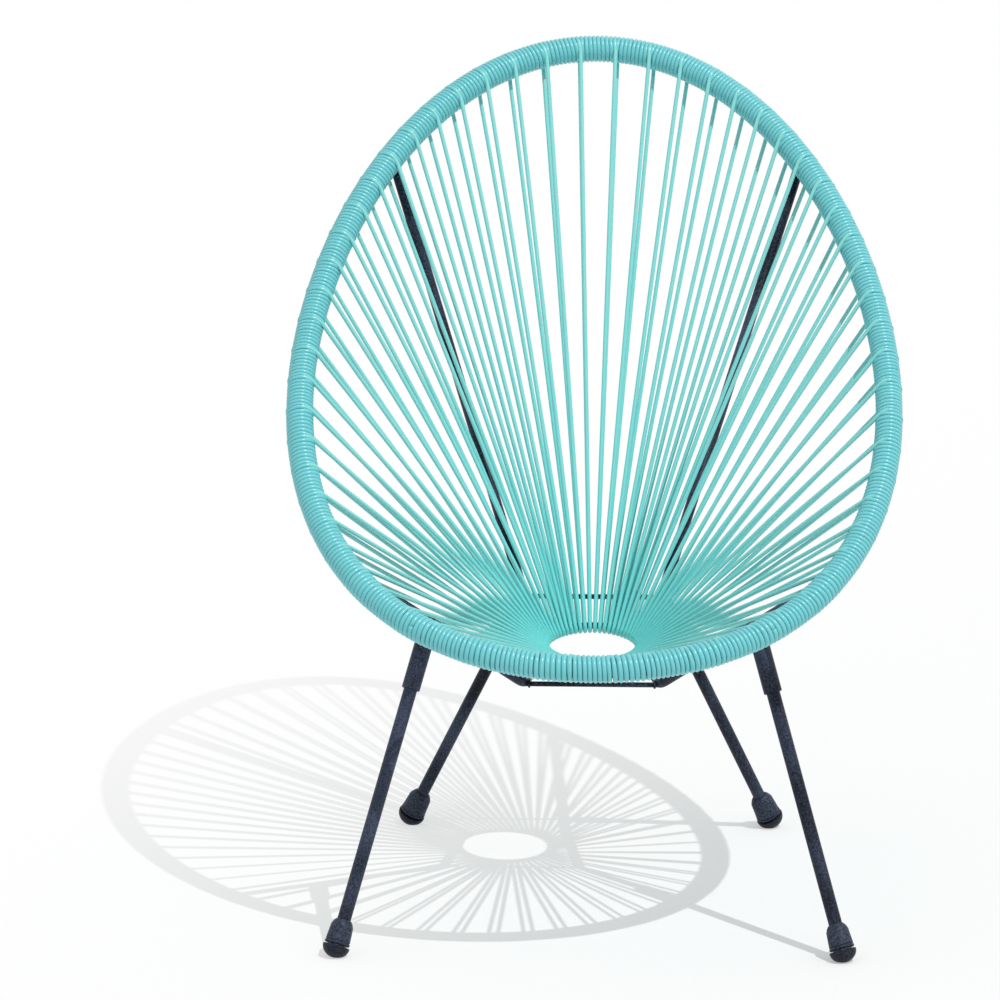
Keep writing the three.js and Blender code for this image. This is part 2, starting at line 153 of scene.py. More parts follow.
def make_piece(name, vertices, faces, material, slot, body, *nodes):
    """A smooth-shaded piece that rides on a body and stands for the nodes named last."""
    mesh = bpy.data.meshes.new(name)
    mesh.from_pydata([tuple(v) for v in vertices], [], faces)
    mesh.validate()
    mesh.shade_smooth()
    mesh.materials.append(material)
    piece = bpy.data.objects.new(name, mesh)
    bpy.context.scene.collection.objects.link(piece)
    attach(piece, body)
    if nodes:
        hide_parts(*nodes)
    return piece


class Flow:
    """A shader socket that takes part in sums, and the one way to add a node beside it."""

    def __init__(self, tree, socket=None):
        self.tree = tree
        self.socket = socket

    def node(self, kind, settings=None, sockets=None, out=0):
        """Adds a node: its type, its settings, and its sockets' values or links."""
        made = self.tree.nodes.new(kind)
        for name, value in (settings or {}).items():
            if name == "stops":
                elements = made.color_ramp.elements
                while len(elements) < len(value):
                    elements.new(0.5)
                for element, (place, colour) in zip(elements, value):
                    element.position = place
                    element.color = (*colour, 1)
            else:
                setattr(made, name, value)
        for name, value in (sockets or {}).items():
            if isinstance(value, Flow):
                self.tree.links.new(value.socket, made.inputs[name])
            else:
                made.inputs[name].default_value = value
        return Flow(self.tree, made.outputs[out] if made.outputs else None)

    def maths(self, operation, first, second):
        return self.node("ShaderNodeMath", {"operation": operation}, {0: first, 1: second})

    def __add__(self, other):
        return self.maths("ADD", self, other)

    __radd__ = __add__

    def __sub__(self, other):
        return self.maths("SUBTRACT", self, other)

    def __rsub__(self, other):
        return self.maths("SUBTRACT", other, self)

    def __mul__(self, other):
        return self.maths("MULTIPLY", self, other)

    __rmul__ = __mul__


def new_material(name):
    """An empty material, its flow, and the place on the piece that its patterns follow."""
    material = bpy.data.materials.new(name)
    material.use_nodes = True
    material.node_tree.nodes.clear()
    flow = Flow(material.node_tree)
    return material, flow, flow.node("ShaderNodeTexCoord", out="Object")


def speckled(flow, place, scale, detail, roughness=0.5):
    """A noise whose lumps are about 1 / scale metres wide."""
    sockets = {"Vector": place, "Scale": scale, "Detail": detail, "Roughness": roughness}
    return flow.node("ShaderNodeTexNoise", {}, sockets)


def stretched(speckle):
    """A noise keeps mostly between 0.36 and 0.74, and this spreads that to 0 to 1."""
    return (speckle - 0.36) * 2.6


def bumped(flow, height, strength, distance):
    """Small hollows and rises that follow a noise."""
    sockets = {"Strength": strength, "Distance": distance, "Height": height}
    return flow.node("ShaderNodeBump", {}, sockets)


def blended(flow, factor, first, second):
    """A colour between two, mixed by a value."""
    return flow.node("ShaderNodeMix", {"data_type": "RGBA"}, {0: factor, 6: first, 7: second}, out=2)


def surfaced(flow, **sockets):
    """Ends a material in its shader, whose sockets are written with _ for a space."""
    named = {name.replace("_", " "): value for name, value in sockets.items()}
    shader = flow.node("ShaderNodeBsdfPrincipled", {}, named)
    flow.node("ShaderNodeOutputMaterial", {}, {"Surface": shader})


def rgba(red, green, blue):
    """A screen colour from 0 to 255 as Blender's linear one."""
    def linear(c):
        c /= 255
        return c / 12.92 if c <= 0.04045 else ((c + 0.055) / 1.055) ** 2.4
    return (linear(red), linear(green), linear(blue), 1)


def powder_coat():
    """Dark blue-grey coat: a fine grain, a slow change of tone, an orange-peel skin and painted
    glints.
    """
    dark = rgba(4, 9, 19)
    pale = rgba(73, 82, 104)
    drift = 1.5  # how much the slow change of tone counts beside the grain
    # pale specks on the orange peel's tops, painted glints mixed into the coat's colour
    painted_glints = 0.15
    coat, flow, place = new_material("coated_steel")
    cloud = speckled(flow, place, 11.0, 1.0)
    grain = speckled(flow, place, 480.0, 5.0, 0.7)
    peel = speckled(flow, place, 900.0, 3.0, 0.55)
    stops = [(0.56, (0, 0, 0)), (0.72, (1, 1, 1))]
    # painted glints: the peel's tops are lightened in the colour
    glint_speck = flow.node("ShaderNodeValToRGB", {"stops": stops}, {"Fac": peel})
    tone = blended(flow, stretched(grain) + (cloud - 0.5) * drift + glint_speck * painted_glints, dark, pale)
    surfaced(
        flow,
        Base_Color=tone,
        Specular_IOR_Level=0.16,
        Roughness=0.32 + cloud * 0.22,
        Normal=bumped(flow, peel, 0.22, 0.0004),
    )
    return coat


coated_steel = powder_coat()
rim_stations = np.linspace(0, rim_round, rim_rings, endpoint=False)
make_piece(
    "rim_bar",
    *swept(rim_point(rim_stations), rim_tube_radius - rim_slack, rim_sides, closed=True),
    coated_steel,
    "frame_steel",
    "chair",
    "rim_tube",
)


# Inner ring
# A ring bent from thin steel rod. It hangs in the cords at the bottom of the seat, and the
# cords' loops hide it.

inner_ring_radius = 0.059
inner_rod_radius = 0.004
inner_ring_setback = 0.3665
inner_ring_height = 0.2755
inner_tilt = math.radians(6.5)
inner_rings = 96
inner_sides = 12
inner_centre = np.array([0, rim_front + inner_ring_setback, inner_ring_height])
inner_back = np.array([0, math.cos(inner_tilt), math.sin(inner_tilt)])
inner_up = np.array([0, -math.sin(inner_tilt), math.cos(inner_tilt)])


def from_inner(bearing):
    """The way out from the ring's centre, by a bearing clockwise from the back."""
    return np.array([math.sin(bearing), 0, 0]) + math.cos(bearing) * inner_back


inner_path = [
    inner_centre + inner_ring_radius * from_inner(2 * math.pi * i / inner_rings)
    for i in range(inner_rings)
]
make_piece(
    "inner_ring_rod",
    *swept(inner_path, inner_rod_radius, inner_sides, closed=True),
    coated_steel,
    "frame_steel",
    "chair",
    "inner_ring",
)


# Seat cord
# Hollow plastic cord, 5 mm thick, wound tightly on the rim by hand. At each of sixty places
# it leaves the rim's top, runs round the inner ring, comes back under the rim and winds on.

cord_radius = 0.0025
cord_sides = 10
cord_slack = 0.00004  # taken off the radius, so that touching cords stay apart
loop_slack = 0.00005
spoke_count = 60
spokes_per_run = 5
bay = rim_round / spoke_count
winding_radius = rim_tube_radius + cord_radius
loop_radius = inner_rod_radius + cord_radius + loop_slack

most_turns = 8.5  # turns in a winding from under the rim to over it
tight_windings = 16  # windings each side of the back that have the most turns
even_windings = 22  # windings each side before the front ones, which alternate
turn_steps = 20
settle = 2.2  # radians over which a winding's ends settle into tight turns
least_lift = 0.0003  # a cord's height over the tight turns where it becomes a strand
slant_lift = 0.0048  # added to it by as much as the strand slants along the rim
wobble = 0.00012
wobble_knots = 9
pressed = 1.03  # a turn's radius, in halves of its pitch, so that no gap shows
spread_share = 0.62  # inside the rim the turns lean together over a leaving strand
spread_reach = 10.5  # radians over which this fades
spread_swell = 0.25  # and they are up to this much thicker, so that no gap opens there

bend_samples = 2  # winding samples that the bend between rim and strand takes up
bend_length = 0.010
bend_steps = 4
strand_steps = 5
loop_points = 13
loop_lean = 0.12  # most that a pair's lower strand is behind its upper one, round the ring
chance = np.random.default_rng(7)
lean_scatter = chance.uniform(0.97, 1.03, spoke_count)


def soft_cord():
    """Soft gloss plastic, with painted shade: bluer and darker on the rim's tight turns, deeper where
    the strands crowd at the ring.
    """
    strand = (rgba(141, 219, 215), rgba(122, 208, 206))
    # painted shade where the strands crowd together at the inner ring
    crowded_shade = (rgba(120, 222, 220), rgba(102, 211, 210))
    # painted shade of the tight turns on the rim, which are the same cord as the strands
    winding = (rgba(122, 207, 212), rgba(104, 197, 203))
    plastic, flow, place = new_material("cord_plastic")
    broad = speckled(flow, place, 14.0, 2.0)
    streak = speckled(flow, place, 240.0, 3.0)
    shade = broad * 0.6 + streak * 0.4
    crowd = flow.node("ShaderNodeAttribute", {"attribute_name": "crowd"}, out="Fac")
    wound = flow.node("ShaderNodeAttribute", {"attribute_name": "wound"}, out="Fac")
    tone = blended(flow, crowd, blended(flow, shade, *strand), blended(flow, shade, *crowded_shade))
    tone = blended(flow, wound, tone, blended(flow, shade, *winding))
    surfaced(
        flow,
        Base_Color=tone,
        Roughness=0.18 + streak * 0.14,
        Normal=bumped(flow, streak, 0.12, 0.0003),
        IOR=1.5,
    )
    return plastic


class Spoke:
    """Where one pair of strands leaves the rim and how it lies."""

    def __init__(self, k):
        point, way, normal, side = (v[0] for v in rim_place((k + 0.5) * bay))
        self.bearing = 2 * math.pi * (k + 0.5) / spoke_count
        self.lean = -loop_lean * math.sin(self.bearing) * lean_scatter[k]
        outward = from_inner(self.bearing)
        strand = point - inner_centre - inner_ring_radius * outward
        self.climb = math.atan2(strand.dot(inner_up), strand.dot(outward))
        seat = unit(np.cross(way, strand))
        if seat.dot(normal) < 0:
            seat = -seat
        self.angle = math.atan2(seat.dot(side), seat.dot(normal))
        slant = unit(strand).dot(way)
        self.lift = least_lift + slant_lift * slant * slant

    def loop(self):
        """Points round the inner rod, from the top strand to the bottom one."""
        points = []
        for share in np.linspace(0, 1, loop_points):
            outward = from_inner(self.bearing + self.lean * (share - 0.5))
            turn = self.climb + math.pi * (0.5 + share)
            reach = math.cos(turn) * outward + math.sin(turn) * inner_up
            points.append(inner_centre + inner_ring_radius * outward + loop_radius * reach)
        return points


def eased(x):
    """0 to 1 with a soft start and end."""
    x = np.clip(x, 0, 1)
    return x * x * (3 - 2 * x)


def turns_in(k):
    """Turns of the winding k places from the back: fewer in front, where it is looser."""
    from_back = min(k, spoke_count - k)
    if from_back <= tight_windings:
        return most_turns
    if from_back > even_windings and k % 2:
        return most_turns - 2
    return most_turns - 1


def winding(k):
    """Points and radii of the turns between two spokes, from under the rim to over it."""
    before, after = spokes[k - 1], spokes[k]
    turns = turns_in(k)
    quarter = bay / (turns + 0.5) / 4
    begin = math.pi + before.angle
    end = begin + 2 * math.pi * turns + after.angle - before.angle
    angles = np.linspace(begin, end, round((end - begin) / (2 * math.pi) * turn_steps) + 1)
    share = (angles - begin) / (end - begin)
    knots = np.linspace(0, 1, wobble_knots)
    astray = np.interp(share, knots, chance.normal(0, wobble, wobble_knots))
    inside = eased(np.sin(angles))
    near_start = inside * np.exp((begin - angles) / spread_reach)
    near_end = inside * np.exp((angles - end) / spread_reach)
    s = (k - 0.5) * bay + quarter + share * (bay - 2 * quarter)
    s = s + spread_share * 4 * quarter * (near_end - near_start)
    settling = eased((angles - begin) / settle)
    rising = eased((end - angles) / settle)
    lift = before.lift * (1 - settling) + after.lift * (1 - rising)
    point, _, normal, side = rim_place(s + astray)
    reach = (winding_radius + lift)[:, None]
    points = point + reach * (normal * np.cos(angles)[:, None] + side * np.sin(angles)[:, None])
    tight = max(cord_radius, 2 * quarter * pressed) * (1 + spread_swell * (near_start + near_end))
    return points, cord_radius + (tight - cord_radius) * np.minimum(settling, rising)


def joined(start, start_way, end, end_way):
    """Points of a smooth bend between two ends, both left out."""
    span = np.linalg.norm(end - start)
    t = np.linspace(0, 1, bend_steps + 2)[1:-1, None]
    return (
        (2 * t**3 - 3 * t**2 + 1) * start + (t**3 - 2 * t**2 + t) * span * start_way
        + (3 * t**2 - 2 * t**3) * end + (t**3 - t**2) * span * end_way
    )


def laid(points, radius=cord_radius, wound=0, crowd=0):
    """A stretch of cord: each row is a place, a radius, and how much painted shade it takes as a
    winding and where the strands crowd.
    """
    rows = np.empty((len(points), 6))
    rows[:, :3] = points
    rows[:, 3] = radius
    rows[:, 4] = wound
    rows[:, 5] = crowd
    return rows


spokes = [Spoke(k) for k in range(spoke_count)]
windings = [winding(k) for k in range(spoke_count)]
part_way = np.linspace(0, 1, strand_steps + 1)[:, None]
# how much painted shade a strand takes as it nears the ring
shade_nearing = part_way[:, 0] ** 2

cord = []
run_starts = []
for k, spoke in enumerate(spokes):
    points, radii = windings[k]
    onward = windings[(k + 1) % spoke_count][0]
    upper, lower = points[-1], onward[0]
    loop = spoke.loop()
    down = unit(loop[0] - upper)
    back = unit(lower - loop[-1])
    leave = upper + bend_length * down
    arrive = lower - bend_length * back
    points, radii = points[bend_samples:-bend_samples], radii[bend_samples:-bend_samples]
    onward = onward[bend_samples:]
    run_starts.append(len(cord) + len(points) // 2)
    cord.extend(laid(points, radii, wound=1))
    cord.extend(laid(joined(points[-1], unit(points[-1] - points[-2]), leave, down)))
    cord.extend(laid(leave + (loop[0] - leave) * part_way[:-1], crowd=shade_nearing[:-1]))
    cord.extend(laid(loop, crowd=1))
    cord.extend(laid(loop[-1] + (arrive - loop[-1]) * part_way[1:], crowd=shade_nearing[-2::-1]))
    cord.extend(laid(joined(arrive, back, onward[0], unit(onward[1] - onward[0]))))
cord = np.array(cord)
cord_path = cord[:, :3]
cord_ways = unit(np.roll(cord_path, -1, axis=0) - np.roll(cord_path, 1, axis=0))
cord_length = np.sum(np.linalg.norm(np.roll(cord_path, -1, axis=0) - cord_path, axis=1))
print("seat cord, metres:", round(float(cord_length), 1))

cord_plastic = soft_cord()
for run in range(spoke_count // spokes_per_run):
    first = run_starts[run * spokes_per_run]
    last = run_starts[(run + 1) * spokes_per_run % spoke_count]
    if last < first:
        last += len(cord)
    rows = np.arange(first, last + 1) % len(cord)
    run_piece = make_piece(
        f"cord_run_{run + 1:02d}",
        *swept(cord_path[rows], cord[rows, 3] - cord_slack, cord_sides, ways=cord_ways[rows]),
        cord_plastic,
        "seat_cord",
        "chair",
        f"seat_cord_{run + 1:02d}",
    )
    # the painted shade masks, one value for each point of the run
    for tint, column in (("wound", 4), ("crowd", 5)):
        values = run_piece.data.attributes.new(tint, "FLOAT", "POINT")
        values.data.foreach_set("value", np.repeat(cord[rows, column], cord_sides))


# Side frames
# On each side one steel tube comes down from the rim, bends level under the seat and bends
# up again to the back of the rim. It is welded to the rim under the winding.

frame_tube_radius = 0.0065
frame_tube_sides = 28
arm_weld = (22.93, 0.007, 0.003)  # rim station, then inward and up from the rim tube's centre
brace_weld = (7.25, 0, -0.009)
corner = (0.080, 0.294, 0.2525)  # half width, setback from the rim's front, height
heel = (0.0595, 0.431, 0.2425)
bend_radius = 0.026
bend_points = 13


def from_rim_front(place, hand):
    """A point on one side by its half width, its setback from the rim's front and its height."""
    half_width, setback, height = place
    return np.array([hand * half_width, rim_front + setback, height])


def weld_point(weld, hand):
    """Where a side tube's middle line ends at the rim."""
    station, inset, rise = weld
    point, _, normal, side = (v[0] for v in rim_place(hand * station * bay))
    return point + inset * side + rise * normal


def bent(points):
    """A tube's path through points, with an arc of the bending radius at each bend."""
    path = [points[0]]
    for before, here, after in zip(points, points[1:], points[2:]):
        arrive, leave = unit(here - before), unit(after - here)
        half = math.acos(np.clip(arrive.dot(leave), -1, 1)) / 2
        inside = unit(leave - arrive)
        onward = unit(np.cross(np.cross(arrive, leave), inside))
        centre = here + inside * bend_radius / math.cos(half)
        for turn in np.linspace(-half, half, bend_points):
            path.append(centre + bend_radius * (-inside * math.cos(turn) - onward * math.sin(turn)))
    path.append(points[-1])
    return np.array(path)


side_points = {}
for side_name, hand in (("left", -1), ("right", 1)):
    side_points[side_name] = [
        weld_point(arm_weld, hand),
        from_rim_front(corner, hand),
        from_rim_front(heel, hand),
        weld_point(brace_weld, hand),
    ]
    make_piece(
        f"{side_name}_side_tube",
        *swept(bent(side_points[side_name]), frame_tube_radius, frame_tube_sides),
        coated_steel,
        "frame_steel",
        "chair",
        f"{side_name}_arm",
        f"{side_name}_seat_rail",
        f"{side_name}_back_brace",
    )


# Cross rods
# Two thin steel rods tie the side tubes together under the seat. Each is welded inside the
# bends with a short rippled bead.

cross_rod_radius = 0.003
cross_rod_rings = 5
cross_rod_sides = 16
front_rod_drop = 0.0015
rear_joint_share = 0.12  # of the way from the heel up to the brace's weld
rod_weld_radius = 0.0013
rod_weld_rise = 0.0004
rod_weld_depth = 0.0002
rod_weld_points = 48
bead_sides = 10
ripple_height = 0.13  # of the bead's radius
ripple_pitch = 0.0019
bead_tip = 0.15
sideways = np.array([1.0, 0, 0])


def bead(path, radius, closed=False):
    """A weld bead: a bar with ripples, thin at open ends."""
    path = np.asarray(path)
    step = np.linalg.norm(np.diff(path, axis=0), axis=1)
    s = np.append(0, np.cumsum(step))
    size = radius * (1 + ripple_height * np.sin(2 * math.pi * s / ripple_pitch))
    if not closed:
        size = size * np.clip(np.minimum(s, s[-1] - s) / radius, bead_tip, 1)
    return swept(path, size, bead_sides, closed=closed)


def merged(*shapes):
    """Several vertex and face lists as one."""
    vertices, faces = [], []
    for shape_vertices, shape_faces in shapes:
        start = len(vertices)
        vertices.extend(shape_vertices)
        faces.extend([[start + i for i in face] for face in shape_faces])
    return vertices, faces


def ring_path(centre, axis, radius, count):
    """Points on a circle round an axis."""
    across = unit(np.cross(axis, np.array([0.3, 0.2, 1.0])))  # any way that isn't the axis
    other = np.cross(axis, across)
    angle = np.linspace(0, 2 * math.pi, count, endpoint=False)[:, None]
    return centre + radius * (across * np.cos(angle) + other * np.sin(angle))


front_rod_end = from_rim_front(corner, 1) - np.array([0, 0, front_rod_drop])
_, _, right_heel, right_brace_top = side_points["right"]
rear_rod_end = right_heel + (right_brace_top - right_heel) * rear_joint_share
for rod_name, rod_end in (("front", front_rod_end), ("rear", rear_rod_end)):
    far_end = rod_end * np.array([-1, 1, 1])
    beads = []
    for hand in (-1, 1):
        joint = rod_end * np.array([hand, 1, 1])
        centre = joint - hand * sideways * (frame_tube_radius - rod_weld_depth)
        circle = ring_path(centre, sideways, cross_rod_radius + rod_weld_rise, rod_weld_points)
        beads.append(bead(circle, rod_weld_radius, closed=True))
    along = np.linspace(0, 1, cross_rod_rings)[:, None]
    rod = swept(far_end + (rod_end - far_end) * along, cross_rod_radius, cross_rod_sides)
    make_piece(
        f"{rod_name}_tie_rod",
        *merged(rod, *beads),
        coated_steel,
        "frame_steel",
        "chair",
        f"{rod_name}_cross_rod",
    )


# Leg sockets
# Short lengths of wider tube, closed at the top by a welded plate and welded across under the
# side tube. Each takes the top of a leg, which a screw keeps in.

foot_places = {"front": (0.2945, 0.0325), "rear": (0.2135, 0.5305)}
leg_radii = {"front": 0.008, "rear": 0.0072}
socket_lengths = {"front": 0.0755, "rear": 0.0605}
front_joint_share = 0.39  # of the way from the arm's weld down to the corner
socket_play = 0.0005
socket_wall = 0.0023
socket_drop = 0.0064
mouth_chamfer = 0.0006
mouth_edge = 0.0005
plate_edge = 0.0012
plate_thickness = 0.003
weld_radius = 0.0018
weld_offset = 0.0047  # from the socket's middle, to each side of the tube over it
weld_inset = 0.0006
weld_rise = 0.0003
weld_points = 60
seam_radius = 0.0007
seam_inset = 0.0004
seam_drop = 0.0003
seam_points = 150
turned_sides = 40
pad_depth = 0.014
pad_flat = 0.002


class Axis:
    """A line that shapes are turned on."""

    def __init__(self, start, way):
        self.start = start
        self.way = way

    def up(self, height):
        return self.start + self.way * height


class Leg(Axis):
    """The line of one leg, from its pad's centre up to its joint on the side tube."""

    def __init__(self, end, side_name, hand):
        half_width, setback = foot_places[end]
        pad = from_rim_front((half_width, setback, pad_depth - pad_flat), hand)
        points = side_points[side_name]
        if end == "front":
            start, stop, share = points[0], points[1], front_joint_share
        else:
            start, stop, share = points[2], points[3], rear_joint_share
        joint = start + (stop - start) * share
        super().__init__(pad, unit(joint - pad))
        self.name = f"{end}_{side_name}"
        self.tube_way = unit(stop - start)
        self.radius = leg_radii[end]
        self.socket_radius = self.radius + socket_play + socket_wall
        self.socket_top = np.linalg.norm(joint - pad) - socket_drop
        self.socket_mouth = self.socket_top - socket_lengths[end]


legs = [
    Leg(end, side_name, hand)
    for end in ("front", "rear")
    for side_name, hand in (("left", -1), ("right", 1))
]


def turned(profile, axis, sides):
    """A shape turned on an axis, from [radius, height] points.

    The profile starts and ends on the axis, or closes on itself.
    """
    across = unit(np.cross(axis.way, sideways))
    other = np.cross(axis.way, across)
    angles = np.linspace(0, 2 * math.pi, sides, endpoint=False)
    vertices, rows = [], []
    for radius, height in profile:
        centre = axis.up(height)
        if radius == 0:
            rows.append([len(vertices)] * sides)
            vertices.append(centre)
        else:
            rows.append(list(range(len(vertices), len(vertices) + sides)))
            for a in angles:
                vertices.append(centre + radius * (math.cos(a) * across + math.sin(a) * other))
    pairs = list(zip(rows, rows[1:]))
    if profile[0][0] > 0 and profile[-1][0] > 0:
        pairs.append((rows[-1], rows[0]))
    faces = []
    for low, high in pairs:
        for j in range(sides):
            k = (j + 1) % sides
            face = list(dict.fromkeys([low[j], low[k], high[k], high[j]]))
            if len(face) > 2:
                faces.append(face)
    return vertices, faces


for leg in legs:
    bore, outer = leg.radius + socket_play, leg.socket_radius
    mouth, top = leg.socket_mouth, leg.socket_top
    shell = turned([
        [bore, top - plate_thickness],
        [0, top - plate_thickness],
        [0, top],
        [outer - plate_edge, top],
        [outer, top - plate_edge],
        [outer, mouth + mouth_edge],
        [outer - mouth_edge, mouth],
        [bore + mouth_chamfer, mouth],
        [bore, mouth + mouth_chamfer],
    ], leg, turned_sides)
    across = unit(np.cross(leg.tube_way, leg.way))
    tube_line = unit(np.cross(leg.way, across))
    beads = []
    half = math.sqrt((outer - weld_inset) ** 2 - weld_offset ** 2)
    along = np.linspace(-half, half, weld_points)[:, None]
    for hand in (-1, 1):
        line = leg.up(top + weld_rise) + hand * weld_offset * across + tube_line * along
        beads.append(bead(line, weld_radius))
    seam = ring_path(leg.up(top - seam_drop), leg.way, outer - seam_inset, seam_points)
    beads.append(bead(seam, seam_radius, closed=True))
    make_piece(
        f"{leg.name}_leg_socket",
        *merged(shell, *beads),
        coated_steel,
        "frame_steel",
        "chair",
        f"{leg.name}_socket",
    )


# Legs
# Plain round steel tubes, coated like the frame and open at both ends. The top hides in the
# socket and the bottom in the foot's cap.

leg_wall = 0.0014
leg_seat_depth = 0.011
leg_edge = 0.0002
cap_gap = 0.0022
cap_floor = 0.007
stud_flange_height = 0.003
fit = 0.0003


def edged(piece, width):
    """Rounds a piece's sharp edges and keeps its flats flat."""
    sharp = 0.6
    bevel = piece.modifiers.new("edge", "BEVEL")
    bevel.width = width
    bevel.segments = 3
    bevel.angle_limit = sharp
    piece.data.set_sharp_from_angle(angle=sharp)


for leg in legs:
    bottom = cap_gap + cap_floor + stud_flange_height + 2 * fit
    top = leg.socket_top - leg_seat_depth
    inner = leg.radius - leg_wall
    leg_piece = make_piece(
        f"{leg.name}_leg_tube",
        *turned([
            [inner, bottom],
            [leg.radius, bottom],
            [leg.radius, top],
            [inner, top],
        ], leg, turned_sides),
        coated_steel,
        "frame_steel",
        "chair",
        f"{leg.name}_leg",
    )
    edged(leg_piece, leg_edge)


# Socket screws
# A small zinc-plated screw with a domed head and a round recess goes into each socket from
# behind and keeps the leg in.

screw_radius = 0.002
screw_head_radius = 0.0038
screw_head_height = 0.0024
screw_head_edge = 0.0003
screw_crown_edge = 0.0001
screw_inset = 0.020
screw_sides = 24
recess_radius = 0.0015
recess_depth = 0.0015
recess_taper = 0.0002


def zinc_plate():
    """Pale grey plated metal with a fine uneven sheen."""
    plate, flow, place = new_material("zinc_steel")
    grain = speckled(flow, place, 700.0, 4.0)
    surfaced(
        flow,
        Base_Color=blended(flow, grain, rgba(168, 171, 176), rgba(120, 124, 130)),
        Metallic=1.0,
        Roughness=0.24 + grain * 0.22,
        Normal=bumped(flow, grain, 0.1, 0.0002),
    )
    return plate


zinc_steel = zinc_plate()
for leg in legs:
    outward = unit(np.array([0, 1.0, 0]) - leg.way * leg.way[1])
    axis = Axis(leg.up(leg.socket_mouth + screw_inset), outward)
    tip = leg.radius - leg_wall - 2 * fit
    seat = leg.socket_radius + fit
    crown = seat + screw_head_height
    make_piece(
        f"{leg.name}_socket_screw",
        *turned([
            [0, tip],
            [screw_radius, tip],
            [screw_radius, seat],
            [screw_head_radius - screw_head_edge, seat],
            [screw_head_radius, seat + screw_head_edge],
            [screw_head_radius * 0.96, seat + screw_head_height * 0.45],
            [screw_head_radius * 0.82, seat + screw_head_height * 0.75],
            [screw_head_radius * 0.62, crown - screw_crown_edge],
            [recess_radius, crown],
            [recess_radius - recess_taper, crown - recess_depth + recess_taper],
            [0, crown - recess_depth],
        ], axis, screw_sides),
        zinc_steel,
        "fastener_steel",
        "chair",
        f"{leg.name}_screw",
    )


# Foot caps
# Moulded plastic ferrules pushed on the legs' ends: a sloped shoulder, a slightly tapered
# body, and a groove above the flange at the bottom.

cap_length = 0.0295
cap_flange_radius = 0.015
cap_flange_height = 0.0028
cap_chamfer = 0.0008
cap_groove_depth = 0.0011
cap_groove_height = 0.0012
cap_body_radius = 0.0146
cap_top_radius = 0.0133
cap_shoulder = 0.0075
shoulder_bulge = 0.0003
shoulder_share = 0.42  # of the shoulder's height that is above its bulge
cap_lip = 0.0009
cap_edge = 0.00035
cap_sides = 56
neck_radius = 0.0025


def moulded(name, dark, pale_tone):
    """Matt moulded plastic, paler in small random patches."""
    plastic, flow, place = new_material(name)
    patches = speckled(flow, place, 400.0, 5.0, 0.7)
    spark = speckled(flow, place, 1500.0, 2.0)
    surfaced(
        flow,
        Base_Color=blended(flow, stretched(patches), dark, pale_tone),
        Specular_IOR_Level=0.16,
        Roughness=0.36 + patches * 0.2,
        Normal=bumped(flow, spark, 0.25, 0.0003),
    )
    return plastic


cap_plastic = moulded("cap_plastic", rgba(6, 10, 19), rgba(80, 90, 112))
for leg in legs:
    bore = leg.radius + fit
    hole = neck_radius + fit
    bottom = cap_gap
    top = cap_gap + cap_length
    groove = bottom + cap_flange_height
    shoulder_middle = (cap_top_radius + bore + cap_lip) / 2 + shoulder_bulge
    cap_piece = make_piece(
        f"{leg.name}_foot_cap",
        *turned([
            [hole, bottom],
            [cap_flange_radius - cap_chamfer, bottom],
            [cap_flange_radius, bottom + cap_chamfer],
            [cap_flange_radius, groove],
            [cap_flange_radius - cap_groove_depth, groove],
            [cap_flange_radius - cap_groove_depth, groove + cap_groove_height],
            [cap_body_radius, groove + cap_groove_height],
            [cap_top_radius, top - cap_shoulder],
            [shoulder_middle, top - cap_shoulder * shoulder_share],
            [bore + cap_lip, top],
            [bore, top],
            [bore, bottom + cap_floor],
            [hole, bottom + cap_floor],
        ], leg, cap_sides),
        cap_plastic,
        "foot_plastic",
        "chair",
        f"{leg.name}_cap",
    )
    edged(cap_piece, cap_edge)


# Ball studs
# A steel stud with a ball end is moulded into the bottom of each cap. Its ball lets the pad
# tilt.

ball_radius = 0.0045
ball_points = 13
stud_flange_radius = 0.0046
stud_edge = 0.0002
stud_sides = 28
pivot_depth = 0.005


def arc(radius, start, count):
    """Profile points of a ball round the pivot, from an angle off its top to its bottom."""
    points = [
        [radius * math.sin(a), radius * math.cos(a) - pivot_depth]
        for a in np.linspace(start, math.pi, count)
    ]
    points[-1][0] = 0
    return points


for leg in legs:
    seat = cap_gap + cap_floor + fit
    profile = [
        [0, seat + stud_flange_height],
        [stud_flange_radius, seat + stud_flange_height],
        [stud_flange_radius, seat],
        [neck_radius, seat],
        *arc(ball_radius, math.asin(neck_radius / ball_radius), ball_points),
    ]
    stud_piece = make_piece(
        f"{leg.name}_ball_stud",
        *turned(profile[::-1], leg, stud_sides),
        zinc_steel,
        "fastener_steel",
        "chair",
        f"{leg.name}_stud",
    )
    edged(stud_piece, stud_edge)


# Glide pads
# Domed plastic pads that stand on the floor, each snapped over its ball stud so that it sits
# flat whatever the leg's angle. The dome is worn flat where it stands.

pad_radius = 0.016
socket_ball_radius = 0.0051
socket_ball_points = 11
pad_mouth_radius = 0.0034
pad_mouth_flare = 0.0008
pad_dome_points = 19
pad_edge = 0.0003
pad_sides = 56
floor_slack = 0.00001
pad_plastic = moulded("pad_plastic", rgba(4, 6, 12), rgba(58, 65, 82))

